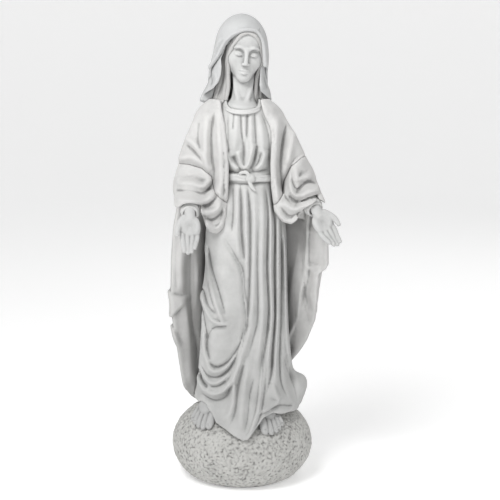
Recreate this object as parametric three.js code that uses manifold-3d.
// A standing Madonna statue in cast stone: a robed and veiled woman with open hands on a rounded boulder.
// Every garment, hand, foot and the boulder is its own casting, held by a tie rod, dowels and pins.
// Millimetres, +Z up. The origin is the centre of the felt pad's underside. The figure faces -Y, and
// +X is the figure's left. "Left" and "right" in names are the figure's own.
import * as THREE from "three";
import { mergeVertices } from "three/addons/utils/BufferGeometryUtils.js";
import Module from "manifold-3d";

const wasm = await Module();
wasm.setup();

// ---- Driving dimensions -------------------------------------------------------------------------------
const GAP = 0.35; // clearance between neighbouring castings, filled by adhesive
const PAD = { radius: 78, thickness: 3 };
const BOULDER = { radius: 114.5, halfHeight: 78, centreZ: 54 };
const ROD = { radius: 5, centre: [4, -2], bottomZ: 14, topZ: 560, clearance: 0.6 };
const WELL = { radius: 26, depthZ: 34 }; // recess under the boulder for the nut and washer
const NUT = { acrossFlats: 17, height: 8, bottomZ: 18 };
const WASHER = { radius: 20, thickness: 4 };
const NECK_DOWEL = { radius: 4, bottomZ: 570, topZ: 640, centre: [2, -6] };
const HAND_PIN = { radius: 2 };
const SASH = { bottomZ: 481, topZ: 497, proud: 3.2 };
const SHEET = 7; // thickness of the mantle where it hangs free
const VEIL_SHEET = 5.5;

// Cross-sections of the body and the garments: [z, centre x, centre y, half width, half depth].
const GOWN_SECTIONS = [
  [70, 8, -12, 90, 93],
  [125, 9, -9, 89, 81],
  [160, 5, -6, 78, 70],
  [215, 5, -6, 71, 65],
  [276, 5, -5, 68, 62],
  [345, 6, -4, 65, 60],
  [410, 7, -3, 60, 55],
  [486, 9, -2, 45, 43],
  [540, 5, -4, 51, 46],
  [578, 1, -4, 52, 40],
  [596, 1, -5, 38, 32],
  [607, 2, -6, 26, 26],
];
const CAPE_SECTIONS = [
  [428, 2, 2, 104, 60],
  [455, 2, 2, 106, 60],
  [512, -2, 0, 93, 56],
  [559, -4, 0, 77, 53],
  [590, -4, 0, 70, 45],
  [607, -3, -2, 48, 34],
];
const VEIL_SECTIONS = [
  [655, -5, 7, 46, 54],
  [680, -2, 1, 45, 50],
  [703, -1, -2, 40, 47],
  [722, 0, -2, 32, 38],
  [735, -1, 0, 19, 23],
  [740, -2, 1, 8, 10],
];
const UNDERVEIL_SECTIONS = [
  [604, -8, 6, 60, 46],
  [622, -5, 5, 49, 42],
  [665, -2, 2, 40, 40],
  [695, -1, 1, 35, 39],
  [720, 0, 2, 20, 24],
];
// The free front edges of the hanging mantle: [z, x, y], from under the arms to the hem.
const MANTLE_RIGHT_EDGE = [
  [455, -98, -18],
  [400, -110, -34],
  [352, -113, -36],
  [304, -115, -36],
  [257, -118, -34],
  [205, -105, -18],
  [160, -100, -6],
  [130, -92, 2],
];
const MANTLE_LEFT_EDGE = [
  [455, 104, -18],
  [400, 134, -34],
  [352, 136, -34],
  [304, 121, -28],
  [257, 117, -20],
  [205, 95, 2],
  [160, 82, 16],
  [130, 76, 24],
];
const MANTLE_BACK = [
  [455, 58],
  [352, 68],
  [257, 78],
  [130, 88],
];
const MANTLE_HEM = { right: 138, back: 118, left: 180 }; // height of the hem at each front edge and behind

// ---- Geometry helpers ---------------------------------------------------------------------------------
const vec = (x, y, z) => new THREE.Vector3(x, y, z);
const { lerp, clamp, smoothstep } = THREE.MathUtils;

// A value from a table whose rows start with z, by straight interpolation.
function at(table, z, column) {
  const rows = table[0][0] < table[table.length - 1][0] ? table : [...table].reverse();
  const i = clamp(rows.findIndex((row) => row[0] >= z), 1, rows.length - 1);
  const [low, high] = [rows[i - 1], rows[i]];
  const share = clamp((z - low[0]) / (high[0] - low[0]), 0, 1);
  return lerp(low[column], high[column], share);
}

function geometryFrom(points, faces) {
  const geometry = new THREE.BufferGeometry();
  geometry.setAttribute("position", new THREE.Float32BufferAttribute(points.flatMap((p) => [p.x, p.y, p.z]), 3));
  geometry.setIndex(faces.flat());
  return geometry;
}

function solidOf(source) {
  const geometry = source.clone();
  geometry.deleteAttribute("normal");
  geometry.deleteAttribute("uv");
  const merged = mergeVertices(geometry, 1e-3);
  const solid = new wasm.Manifold(
    new wasm.Mesh({
      numProp: 3,
      vertProperties: new Float32Array(merged.attributes.position.array),
      triVerts: new Uint32Array(merged.index.array),
    }),
  );
  return solid;
}

function geometryOf(solid) {
  const mesh = solid.getMesh();
  const geometry = new THREE.BufferGeometry();
  const positions = new Float32Array(mesh.numVert * 3);
  for (let i = 0; i < mesh.numVert; i++)
    positions.set(mesh.vertProperties.subarray(i * mesh.numProp, i * mesh.numProp + 3), i * 3);
  geometry.setAttribute("position", new THREE.BufferAttribute(positions, 3));
  geometry.setIndex(new THREE.BufferAttribute(mesh.triVerts, 1));
  geometry.computeVertexNormals();
  return geometry;
}

// A cut can leave chips: the casting is the largest piece.
function largest(solid) {
  return solid.decompose().reduce((best, one) => (one.volume() > best.volume() ? one : best));
}

function cut(solid, ...tools) {
  return largest(tools.reduce((left, tool) => left.subtract(tool), solid));
}

function join(...solids) {
  return solids.reduce((all, one) => all.add(one));
}

// A closed solid through rings of equal point count, counter-clockwise seen from the last ring.
function ringLoft(rings) {
  const count = rings[0].length;
  const points = rings.flat();
  const faces = [];
  for (let j = 0; j + 1 < rings.length; j++)
    for (let i = 0; i < count; i++) {
      const [a, b] = [j * count + i, j * count + ((i + 1) % count)];
      faces.push([a, b, b + count], [a, b + count, a + count]);
    }
  const first = rings[0];
  const last = rings[rings.length - 1];
  const centre = (ring) => ring.reduce((sum, p) => sum.add(p), vec(0, 0, 0)).divideScalar(count);
  const start = points.push(centre(first)) - 1;
  const end = points.push(centre(last)) - 1;
  const top = (rings.length - 1) * count;
  for (let i = 0; i < count; i++) {
    const next = (i + 1) % count;
    faces.push([start, next, i], [end, top + i, top + next]);
  }
  return solidOf(geometryFrom(points, faces));
}

// A ring of a garment: a slightly squared ellipse, with extra reach or a dip where asked.
function ring([z, x, y, halfWidth, halfDepth], { grow = 0, sides = 20, reach = () => 0, dip = () => 0 } = {}) {
  const SQUARENESS = 0.94;
  return Array.from({ length: sides }, (_, i) => {
    const angle = (i / sides) * 2 * Math.PI;
    const [c, s] = [Math.cos(angle), Math.sin(angle)];
    const extra = grow + reach(c, s, z);
    return vec(
      x + (halfWidth + extra) * Math.sign(c) * Math.abs(c) ** SQUARENESS,
      y + (halfDepth + extra) * Math.sign(s) * Math.abs(s) ** SQUARENESS,
      z - dip(s, z),
    );
  });
}

function garment(sections, options = {}) {
  return ringLoft(sections.map((section) => ring(section, options)));
}

// A tapered tube with round ends along a few points: an arm, finger, toe or lock of hair.
function limb(path, radii, { grow = 0, sides = 8, flatten = 1, up = vec(0, 0, 1) } = {}) {
  const points = path.map((p) => vec(...p));
  const rings = [];
  const END_SHARE = 0.55; // the end ring's share of the full radius
  const addRing = (centre, along, radius) => {
    const side = vec(0, 0, 0).crossVectors(up, along).normalize();
    const over = vec(0, 0, 0).crossVectors(along, side).normalize();
    rings.push(
      Array.from({ length: sides }, (_, i) => {
        const angle = (i / sides) * 2 * Math.PI;
        return centre
          .clone()
          .addScaledVector(side, radius * Math.cos(angle))
          .addScaledVector(over, radius * flatten * Math.sin(angle));
      }),
    );
  };
  points.forEach((point, i) => {
    const before = points[Math.max(i - 1, 0)];
    const after = points[Math.min(i + 1, points.length - 1)];
    const along = after.clone().sub(before).normalize();
    const radius = radii[i] + grow;
    const cap = (share, sign) =>
      addRing(point.clone().addScaledVector(along, sign * radius * Math.sqrt(1 - share * share)), along, radius * share);
    if (i === 0) cap(END_SHARE, -1);
    addRing(point, along, radius);
    if (i === points.length - 1) cap(END_SHARE, 1);
  });
  return ringLoft(rings);
}

function ellipsoid([x, y, z], [rx, ry, rz], { grow = 0, segments = 12, tilt = [0, 0, 0] } = {}) {
  const geometry = new THREE.SphereGeometry(1, segments, Math.round(segments * 0.6));
  const turn = new THREE.Matrix4().makeRotationFromEuler(new THREE.Euler(...tilt));
  geometry.rotateX(Math.PI / 2).scale(rx + grow, ry + grow, rz + grow);
  geometry.applyMatrix4(turn).translate(x, y, z);
  return solidOf(geometry);
}

// A straight round bar from one point to another.
function bar(from, to, radius, { grow = 0, sides = 16 } = {}) {
  const [a, b] = [vec(...from), vec(...to)];
  const geometry = new THREE.CylinderGeometry(radius + grow, radius + grow, a.distanceTo(b), sides);
  const turn = new THREE.Quaternion().setFromUnitVectors(vec(0, 1, 0), b.clone().sub(a).normalize());
  geometry.applyQuaternion(turn);
  const middle = a.add(b).multiplyScalar(0.5);
  return solidOf(geometry.translate(middle.x, middle.y, middle.z));
}

// An outline in the XZ plane, drawn as the figure is seen from the front, pushed from frontY to backY.
function frontPrism(outline, frontY, backY) {
  const shape = new THREE.Shape(outline.map(([x, z]) => new THREE.Vector2(x, z)));
  const geometry = new THREE.ExtrudeGeometry(shape, { depth: backY - frontY, bevelEnabled: false });
  return solidOf(geometry.rotateX(Math.PI / 2).translate(0, backY, 0));
}

// ---- Boulder and its hardware -------------------------------------------------------------------------
const rodX = ROD.centre[0];
const rodY = ROD.centre[1];

function boulder(grow = 0) {
  const radius = BOULDER.radius + grow;
  const height = BOULDER.halfHeight + grow;
  const foot = PAD.thickness + GAP - grow;
  const startAngle = Math.asin((foot - BOULDER.centreZ) / height);
  const ARC_STEPS = 8;
  const profile = [new THREE.Vector2(0, foot)];
  for (let i = 0; i < ARC_STEPS; i++) {
    const angle = lerp(startAngle, Math.PI / 2, i / ARC_STEPS);
    profile.push(new THREE.Vector2(radius * Math.cos(angle), BOULDER.centreZ + height * Math.sin(angle)));
  }
  profile.push(new THREE.Vector2(0, BOULDER.centreZ + height));
  return solidOf(new THREE.LatheGeometry(profile, 24).rotateX(Math.PI / 2));
}

const rod = (grow = 0) => bar([rodX, rodY, ROD.bottomZ], [rodX, rodY, ROD.topZ], ROD.radius, { grow });
const rodBore = bar([rodX, rodY, 0], [rodX, rodY, ROD.topZ + 3], ROD.radius + ROD.clearance);
const washerTop = WELL.depthZ - GAP;
const washerBottom = washerTop - WASHER.thickness;
const nutTop = washerBottom - GAP;
const well = bar([rodX, rodY, 0], [rodX, rodY, WELL.depthZ], WELL.radius, { sides: 24 });

function drilled(solid) {
  return cut(solid, rodBore);
}

const feltPad = solidOf(
  new THREE.CylinderGeometry(PAD.radius, PAD.radius, PAD.thickness, 36)
    .rotateX(Math.PI / 2)
    .translate(0, 0, PAD.thickness / 2),
);
const washer = drilled(bar([rodX, rodY, washerBottom], [rodX, rodY, washerTop], WASHER.radius, { sides: 24 }));
const nutCorner = NUT.acrossFlats / 2 / Math.cos(Math.PI / 6);
const nut = drilled(bar([rodX, rodY, nutTop - NUT.height], [rodX, rodY, nutTop], nutCorner, { sides: 6 }));

// ---- Feet ---------------------------------------------------------------------------------------------
// Each foot points a little outwards on the boulder's front slope. side is +1 for the figure's left.
const FEET = {
  right: { side: -1, heel: [-46, -34, 112], ball: [-56, -68, 106], turn: -0.22 },
  left: { side: 1, heel: [38, -40, 110], ball: [47, -76, 100], turn: 0.2 },
};

function foot({ side, heel, ball, turn }, grow = 0) {
  const [x, y, z] = ball;
  const body = limb([heel, [x, y + 8, z + 4], ball], [13, 14, 11.5], { grow, flatten: 0.85 });
  const TOE = { count: 5, pitch: 5.4, reach: 15, shorten: 1.9 };
  const toes = Array.from({ length: TOE.count }, (_, i) => {
    const across = -side * (9.5 - i * TOE.pitch);
    const reach = TOE.reach - i * TOE.shorten;
    const radius = i === 0 ? 4.9 : 3.6 - i * 0.15;
    const tip = [x + across + Math.sin(turn) * reach, y - 8 - reach, z - 3 - 0.55 * reach];
    return limb([[x + across, y - 4, z], tip], [radius, radius * 0.85], { grow, sides: 6 });
  });
  return join(body, ...toes);
}

// The gown has a pocket under its hem for each foot, wide enough to show as an arch over the toes.
function footPocket({ heel, ball }) {
  const [x, y, z] = ball;
  return limb([heel, [x, y + 4, z - 2], [x, y - 30, z - 10]], [19, 21, 21]);
}

// ---- Gown, sash and collar ----------------------------------------------------------------------------
// The bent right leg pushes the skirt forward at the knee.
const KNEE = { z: 276, x: -0.45, reach: 22, spread: 70 };

function kneeReach(c, s, z) {
  const height = Math.exp(-(((z - KNEE.z) / KNEE.spread) ** 2));
  const facing = Math.exp(-(((c - KNEE.x) / 0.4) ** 2)) * smoothstep(-s, 0.2, 0.9);
  return KNEE.reach * height * facing;
}

const gownBody = (grow = 0) => garment(GOWN_SECTIONS, { grow, reach: kneeReach });

function sashBand(grow = 0) {
  const section = (z, proud) => [z, at(GOWN_SECTIONS, z, 1), at(GOWN_SECTIONS, z, 2), at(GOWN_SECTIONS, z, 3) + proud, at(GOWN_SECTIONS, z, 4) + proud];
  const middle = (SASH.bottomZ + SASH.topZ) / 2;
  const rows = [
    section(SASH.bottomZ - grow, SASH.proud * 0.6),
    section(middle, SASH.proud),
    section(SASH.topZ + grow, SASH.proud * 0.6),
  ];
  const knot = ellipsoid([15, -48, middle - 1], [8, 7, 8], { grow, segments: 8 });
  const tail = limb([[14, -50, middle - 4], [19, -52, middle - 18]], [3.6, 3], { grow, sides: 6 });
  return join(garment(rows, { grow }), knot, tail);
}

const COLLAR = { centre: [2, -12, 600], width: 31, depth: 38, tube: 4.2, drop: 0.22 };

function collarBand(grow = 0) {
  const geometry = new THREE.TorusGeometry(1, 0.13, 6, 20);
  const position = geometry.attributes.position;
  for (let i = 0; i < position.count; i++) {
    const p = vec(0, 0, 0).fromBufferAttribute(position, i);
    const angle = Math.atan2(p.y, p.x);
    const out = Math.hypot(p.x, p.y) - 1;
    const swell = (COLLAR.tube + grow) / 0.13;
    const x = (COLLAR.width + out * swell) * Math.cos(angle);
    const y = (COLLAR.depth + out * swell) * Math.sin(angle);
    position.setXYZ(i, x, y, p.z * swell + y * COLLAR.drop);
  }
  return solidOf(geometry.translate(...COLLAR.centre));
}

// ---- Head and hair ------------------------------------------------------------------------------------
const HEAD_TILT = 0.1; // the crown leans to the figure's left

function headForm(grow = 0) {
  const options = { grow, segments: 14, tilt: [0, HEAD_TILT, 0] };
  const skull = ellipsoid([4, -4, 684], [27, 34, 31], options);
  const face = ellipsoid([4, -19, 674], [24.5, 27, 36], options);
  const chin = ellipsoid([1, -30, 650], [13, 13, 13], { ...options, segments: 10 });
  const nose = ellipsoid([4, -46, 668], [4.5, 8, 10], { ...options, segments: 7 });
  const neck = limb([[2, -6, 600], [2, -7, 655]], [19, 18], { grow, sides: 14 });
  return join(skull, face, chin, nose, neck);
}

function hairLocks(grow = 0) {
  const lock = (side) =>
    limb(
      [[4, -40, 710], [4 + side * 19, -36, 698], [4 + side * 27, -26, 672], [3 + side * 27, -22, 645], [3 + side * 27, -24, 622]],
      [6, 6.5, 6, 6.5, 7],
      { grow, sides: 6, up: vec(0, 1, 0) },
    );
  return join(lock(-1), lock(1));
}

// ---- Arms and hands -----------------------------------------------------------------------------------
const ARMS = {
  right: {
    side: -1,
    elbow: [-76, -2, 462],
    wrist: [-79, -84, 437],
    pouch: [[-56, -44, 446], [23, 26, 50]],
    fingers: [0, -0.42, -1],
    across: [1, 0.1, 0],
    thumb: [-0.35, -0.75, -0.6],
  },
  left: {
    side: 1,
    elbow: [82, -2, 474],
    wrist: [113, -68, 441],
    pouch: [[77, -42, 452], [24, 26, 38]],
    fingers: [0.42, -0.5, -0.78],
    across: [0.83, -0.1, 0.5],
    thumb: [0.92, -0.35, 0.1],
  },
};
const SLEEVE_RADIUS = { elbow: 28, wrist: 25 };
const CUFF_RADIUS = 16.5;
const CUFF_SET_BACK = 2; // the cuff stops short of the wrist, and the sleeve stops shorter still
const SLEEVE_SET_BACK = 10;
const HAND = { palmLength: 32, palmHalfWidth: 15.5, fingerLengths: [26, 29, 27, 21], fingerRadius: 3.9 };

const between = (a, b, share) => a.map((value, i) => lerp(value, b[i], share));
const along = (from, direction, distance) => from.map((value, i) => value + direction[i] * distance);
const unit = (v) => vec(...v).normalize().toArray();

function sleeve({ elbow, wrist, pouch }, grow = 0) {
  const arm = limb([elbow, between(elbow, wrist, 0.5), wrist], [SLEEVE_RADIUS.elbow, 28, SLEEVE_RADIUS.wrist], {
    grow,
    sides: 14,
  });
  return join(arm, ellipsoid(...pouch, { grow }));
}

// Everything further out than a flat plane square to the forearm, set back from the wrist.
function beyond({ elbow, wrist }, setBack) {
  const forearm = unit(wrist.map((value, i) => value - elbow[i]));
  return bar(along(wrist, forearm, -setBack), along(wrist, forearm, 60), 60, { sides: 12 });
}

function cuff({ elbow, wrist }, grow = 0) {
  const forearm = unit(wrist.map((value, i) => value - elbow[i]));
  const path = [between(elbow, wrist, 0.55), along(wrist, forearm, 5)];
  return limb(path, [CUFF_RADIUS, CUFF_RADIUS], { grow, sides: 12 }).subtract(beyond({ elbow, wrist }, CUFF_SET_BACK - grow));
}

function hand({ side, elbow, wrist, fingers, across, thumb }, grow = 0) {
  const forearm = unit(wrist.map((value, i) => value - elbow[i]));
  const start = along(wrist, forearm, 5);
  const down = unit(fingers);
  const wide = unit(across);
  const palmEnd = along(start, down, HAND.palmLength);
  const pieces = [
    limb([start, along(start, down, 14)], [11, 11], { grow }),
    limb([along(start, down, 12), palmEnd], [HAND.palmHalfWidth - 1.5, HAND.palmHalfWidth], {
      grow,
      flatten: 0.55,
      up: vec(...unit(forearm.map((value, i) => value - down[i] * 0.2))),
    }),
  ];
  HAND.fingerLengths.forEach((length, i) => {
    const offset = side * (10.6 - i * 7.1);
    const root = along(palmEnd, wide, offset);
    const tip = along(along(root, down, length), wide, offset * 0.12);
    pieces.push(limb([along(root, down, -6), tip], [HAND.fingerRadius, HAND.fingerRadius * 0.8], { grow, sides: 6 }));
  });
  const thumbRoot = along(along(start, down, 12), wide, side * 10);
  const thumbTip = along(thumbRoot, unit(thumb), 24);
  pieces.push(limb([thumbRoot, thumbTip], [5.6, 4], { grow, sides: 6 }));
  return join(...pieces);
}

function handPin({ elbow, wrist }, grow = 0) {
  const forearm = unit(wrist.map((value, i) => value - elbow[i]));
  return bar(along(wrist, forearm, -26 - grow), along(wrist, forearm, 9 + grow), HAND_PIN.radius, { grow, sides: 10 });
}

// ---- Mantle and veils ---------------------------------------------------------------------------------
// The hanging mantle's middle surface. s runs from -1 at the right front edge, round the back, to 1 at the left one.
function mantlePoint(s, z) {
  const edge = s < 0 ? MANTLE_RIGHT_EDGE : MANTLE_LEFT_EDGE;
  const swing = Math.abs(s) * Math.PI * 0.5;
  const edgeY = at(edge, z, 2);
  const x = at(edge, z, 1) * Math.sin(swing) ** 0.85;
  const y = edgeY + (at(MANTLE_BACK, z, 1) - edgeY) * Math.cos(swing) ** 0.8;
  return vec(x, y, z);
}

function mantleHem(s) {
  return s < 0 ? lerp(MANTLE_HEM.back, MANTLE_HEM.right, s * s) : lerp(MANTLE_HEM.back, MANTLE_HEM.left, s ** 3);
}

// A hanging sheet of even thickness, closed round its edges.
function hangingSheet(grow = 0) {
  const ACROSS = 14;
  const LEVELS = [455, 400, 352, 304, 257, 205];
  const STEPS_BELOW = 2;
  const rings = [];
  const half = SHEET / 2 + grow;
  const last = LEVELS[LEVELS.length - 1];
  for (let j = 0; j < LEVELS.length + STEPS_BELOW; j++) {
    const outer = [];
    const inner = [];
    for (let i = 0; i <= ACROSS; i++) {
      const s = lerp(-1, 1, i / ACROSS);
      const hemShare = (j - LEVELS.length + 1) / STEPS_BELOW;
      const z = j < LEVELS.length ? LEVELS[j] : lerp(last, mantleHem(s) - grow, hemShare);
      const step = 0.02;
      const tangent = mantlePoint(Math.min(s + step, 1), z).sub(mantlePoint(Math.max(s - step, -1), z)).normalize();
      const outward = vec(-tangent.y, tangent.x, 0);
      const middle = mantlePoint(s, z).addScaledVector(tangent, i === 0 ? -grow : i === ACROSS ? grow : 0);
      outer.push(middle.clone().addScaledVector(outward, half));
      inner.unshift(middle.clone().addScaledVector(outward, -half));
    }
    rings.unshift([...inner, ...outer]);
  }
  return ringStrip(rings);
}

// As ringLoft, for rings too bent for a fan: the caps run as strips between the two faces.
function ringStrip(rings) {
  const count = rings[0].length;
  const points = rings.flat();
  const faces = [];
  for (let j = 0; j + 1 < rings.length; j++)
    for (let i = 0; i < count; i++) {
      const [a, b] = [j * count + i, j * count + ((i + 1) % count)];
      faces.push([a, b, b + count], [a, b + count, a + count]);
    }
  const top = (rings.length - 1) * count;
  for (let i = 0; i + 1 < count / 2; i++) {
    const [near, far] = [i, count - 1 - i];
    faces.push([near, far, near + 1], [far, far - 1, near + 1]);
    faces.push([top + near, top + near + 1, top + far], [top + far, top + near + 1, top + far - 1]);
  }
  const solid = solidOf(geometryFrom(points, faces));
  return solid.volume() > 0 ? solid : solidOf(geometryFrom(points, faces.map(([a, b, c]) => [a, c, b])));
}

// The mantle's front opening, between its two falling borders.
const MANTLE_OPENING = [
  [-33, 640],
  [-31, 608],
  [-24, 559],
  [-20, 490],
  [-21, 425],
  [-70, 380],
  [110, 380],
  [70, 418],
  [55, 440],
  [47, 475],
  [45, 528],
  [37, 575],
  [25, 608],
  [25, 640],
].reverse();
const FACE_OPENING = [
  [-56, 640],
  [-50, 658],
  [-31, 683],
  [-18, 700],
  [-8, 710],
  [4, 714],
  [17, 712],
  [28, 705],
  [34, 688],
  [38, 664],
  [44, 640],
].reverse();
const THROAT_OPENING = [
  [-50, 590],
  [-38, 618],
  [-27, 640],
  [-22, 690],
  [4, 708],
  [28, 690],
  [26, 640],
  [31, 616],
  [40, 590],
].reverse();

function cape(grow = 0) {
  return garment(CAPE_SECTIONS, { grow });
}

function veilShell(sections, sheet, grow = 0, options = {}) {
  const outside = garment(sections, { grow, sides: 16, ...options });
  const shrunk = sections.map(([z, x, y, a, b], i) => [i === 0 ? z - 5 : z - sheet * 0.6, x, y, Math.max(a - sheet, 3), Math.max(b - sheet, 3)]);
  return outside.subtract(garment(shrunk, { grow: -grow, sides: 16, ...options }));
}

// ---- Fitting the castings to each other ---------------------------------------------------------------
const boulderRoom = boulder(GAP);
const gownRoom = gownBody(GAP);
const headRoom = headForm(GAP);
const collarRoom = collarBand(GAP);
const sashRoom = cut(sashBand(GAP), boulderRoom);
const hairRoom = hairLocks(GAP);
const dowel = (grow = 0) =>
  bar([...NECK_DOWEL.centre, NECK_DOWEL.bottomZ], [...NECK_DOWEL.centre, NECK_DOWEL.topZ], NECK_DOWEL.radius, { grow });
const dowelBore = bar([...NECK_DOWEL.centre, NECK_DOWEL.bottomZ - 2], [...NECK_DOWEL.centre, NECK_DOWEL.topZ + 2], NECK_DOWEL.radius + GAP);

const baseStone = cut(boulder(), well, rodBore);
const feet = { right: cut(foot(FEET.right), boulderRoom), left: cut(foot(FEET.left), boulderRoom) };
const gown = cut(
  gownBody(),
  boulderRoom,
  rodBore,
  dowelBore,
  headRoom,
  collarRoom,
  footPocket(FEET.right),
  footPocket(FEET.left),
);
const head = cut(headForm(), dowelBore);
const collar = cut(collarBand(), headRoom);
const sash = cut(sashBand(), gownRoom);
const hair = cut(hairLocks(), headRoom, gownRoom, collarRoom);

const pieces = { baseStone, feltPad, washer, nut, gown, head, collar, sash, hair };
const armRooms = [];
for (const [name, arm] of Object.entries(ARMS)) {
  const pinBore = handPin(arm, GAP);
  pieces[name + "Pin"] = handPin(arm);
  pieces[name + "Cuff"] = cut(cuff(arm), gownRoom, sashRoom, pinBore);
  pieces[name + "Hand"] = cut(hand(arm), cuff(arm, GAP), pinBore);
  const sleeveRoom = cut(sleeve(arm, GAP), beyond(arm, SLEEVE_SET_BACK - GAP));
  pieces[name + "Sleeve"] = cut(sleeve(arm), beyond(arm, SLEEVE_SET_BACK), gownRoom, sashRoom, cuff(arm, GAP));
  armRooms.push(sleeveRoom, cuff(arm, GAP), hand(arm, GAP));
}

const opening = frontPrism(MANTLE_OPENING, -140, -6);
const throat = frontPrism(THROAT_OPENING, -100, -14);
const window = frontPrism(FACE_OPENING, -100, -16);
pieces.mantle = cut(
  join(cape().subtract(opening), hangingSheet()),
  gownRoom,
  sashRoom,
  collarRoom,
  headRoom,
  hairRoom,
  boulderRoom,
  ...armRooms,
);
const mantleRoom = join(cape(GAP), hangingSheet(GAP));
const underveilForm = (grow = 0) => veilShell(UNDERVEIL_SECTIONS, VEIL_SHEET, grow).subtract(throat);
pieces.underveil = cut(underveilForm(), gownRoom, collarRoom, headRoom, hairRoom, mantleRoom);
// The veil's lower edge hangs lower behind the head than at the cheeks.
const VEIL_DIP = { belowZ: 690, depth: 34 };
const veilDip = (s, z) => VEIL_DIP.depth * Math.max(s, 0) * clamp((VEIL_DIP.belowZ - z) / 35, 0, 1);
pieces.veil = cut(veilShell(VEIL_SECTIONS, VEIL_SHEET, 0, { dip: veilDip }).subtract(window), headRoom, hairRoom, underveilForm(GAP));

// ---- The assembly -------------------------------------------------------------------------------------
const stone = (name, colour) => new THREE.MeshStandardMaterial({ name, color: colour, roughness: 0.85, metalness: 0 });
const MATERIALS = {
  castStone: stone("cast_stone", 0xd2d4d3),
  stippledStone: stone("stippled_stone", 0xb9bab7),
  steel: new THREE.MeshStandardMaterial({ name: "zinc_steel", color: 0x9fa3a6, roughness: 0.4, metalness: 1 }),
  felt: new THREE.MeshStandardMaterial({ name: "felt", color: 0x3b3f42, roughness: 1, metalness: 0 }),
};
const statue = new THREE.Group();

function place(name, solid, material) {
  const mesh = new THREE.Mesh(geometryOf(solid), material);
  mesh.name = name;
  statue.add(mesh);
}

place("base_pad", pieces.feltPad, MATERIALS.felt);
place("base_stone", pieces.baseStone, MATERIALS.stippledStone);
place("rod_nut", pieces.nut, MATERIALS.steel);
place("rod_washer", pieces.washer, MATERIALS.steel);
place("tie_rod", rod(), MATERIALS.steel);
place("neck_dowel", dowel(), MATERIALS.steel);
place("gown", pieces.gown, MATERIALS.castStone);
place("sash", pieces.sash, MATERIALS.castStone);
place("collar", pieces.collar, MATERIALS.castStone);
place("head", pieces.head, MATERIALS.castStone);
place("hair", pieces.hair, MATERIALS.castStone);
place("underveil", pieces.underveil, MATERIALS.castStone);
place("veil", pieces.veil, MATERIALS.castStone);
place("mantle", pieces.mantle, MATERIALS.castStone);
for (const name of Object.keys(ARMS)) {
  place(name + "_foot", feet[name], MATERIALS.castStone);
  place(name + "_sleeve", pieces[name + "Sleeve"], MATERIALS.castStone);
  place(name + "_cuff", pieces[name + "Cuff"], MATERIALS.castStone);
  place(name + "_hand", pieces[name + "Hand"], MATERIALS.castStone);
  place(name + "_hand_pin", pieces[name + "Pin"], MATERIALS.steel);
}

export default statue;
